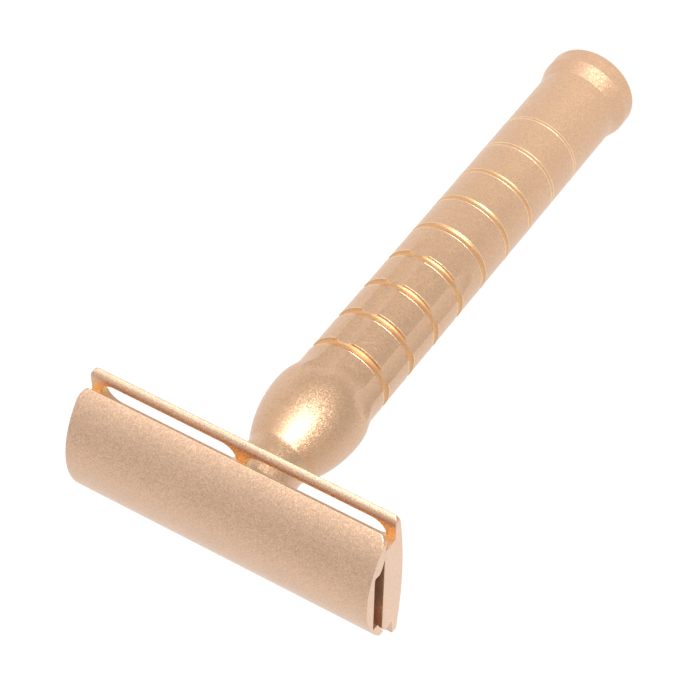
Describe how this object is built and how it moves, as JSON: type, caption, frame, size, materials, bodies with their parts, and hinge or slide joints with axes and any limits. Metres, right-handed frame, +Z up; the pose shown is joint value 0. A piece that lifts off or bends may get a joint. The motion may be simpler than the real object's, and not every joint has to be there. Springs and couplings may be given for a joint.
{
  "type": "safety razor",
  "caption": "Single-edge safety razor: curved cap clamped on a slotted guard plate by a ring-grooved, fluted handle that screws onto the cap's stud.",
  "frame": {"origin": "centre of the flat foot of the handle, which the razor stands on", "axes": "+Z up along the handle, with the cap on top; -Y towards the guard and the shaving edge; X along the head's length"},
  "size_m": [0.0446, 0.023, 0.0974],
  "materials": {
    "blasted_aluminium": "bead-blasted, champagne gold anodised",
    "stainless_steel": "machined",
    "brass": "machined"
  },
  "bodies": {
    "plate": {"base_plate": "blasted_aluminium"},
    "cap": {"cap": "blasted_aluminium", "cap_stud": "stainless_steel", "left_pin": "stainless_steel", "right_pin": "stainless_steel"},
    "handle": {"handle": "blasted_aluminium", "thread_insert": "brass"}
  },
  "joints": [
    {"name": "handle_unscrew", "type": "hinge", "parent": "plate", "child": "handle", "pos_m": [0, 0, 0.0892], "axis": [0, 0, -1], "range_deg": [0, 3600]},
    {"name": "cap_lift", "type": "slide", "parent": "plate", "child": "cap", "axis": [0, 0, 1], "range_m": [0, 0.008]}
  ],
  "couplings": [
    {"joint": "cap_lift", "follows": "handle_unscrew", "m_per_rad": 0.00012732}
  ]
}
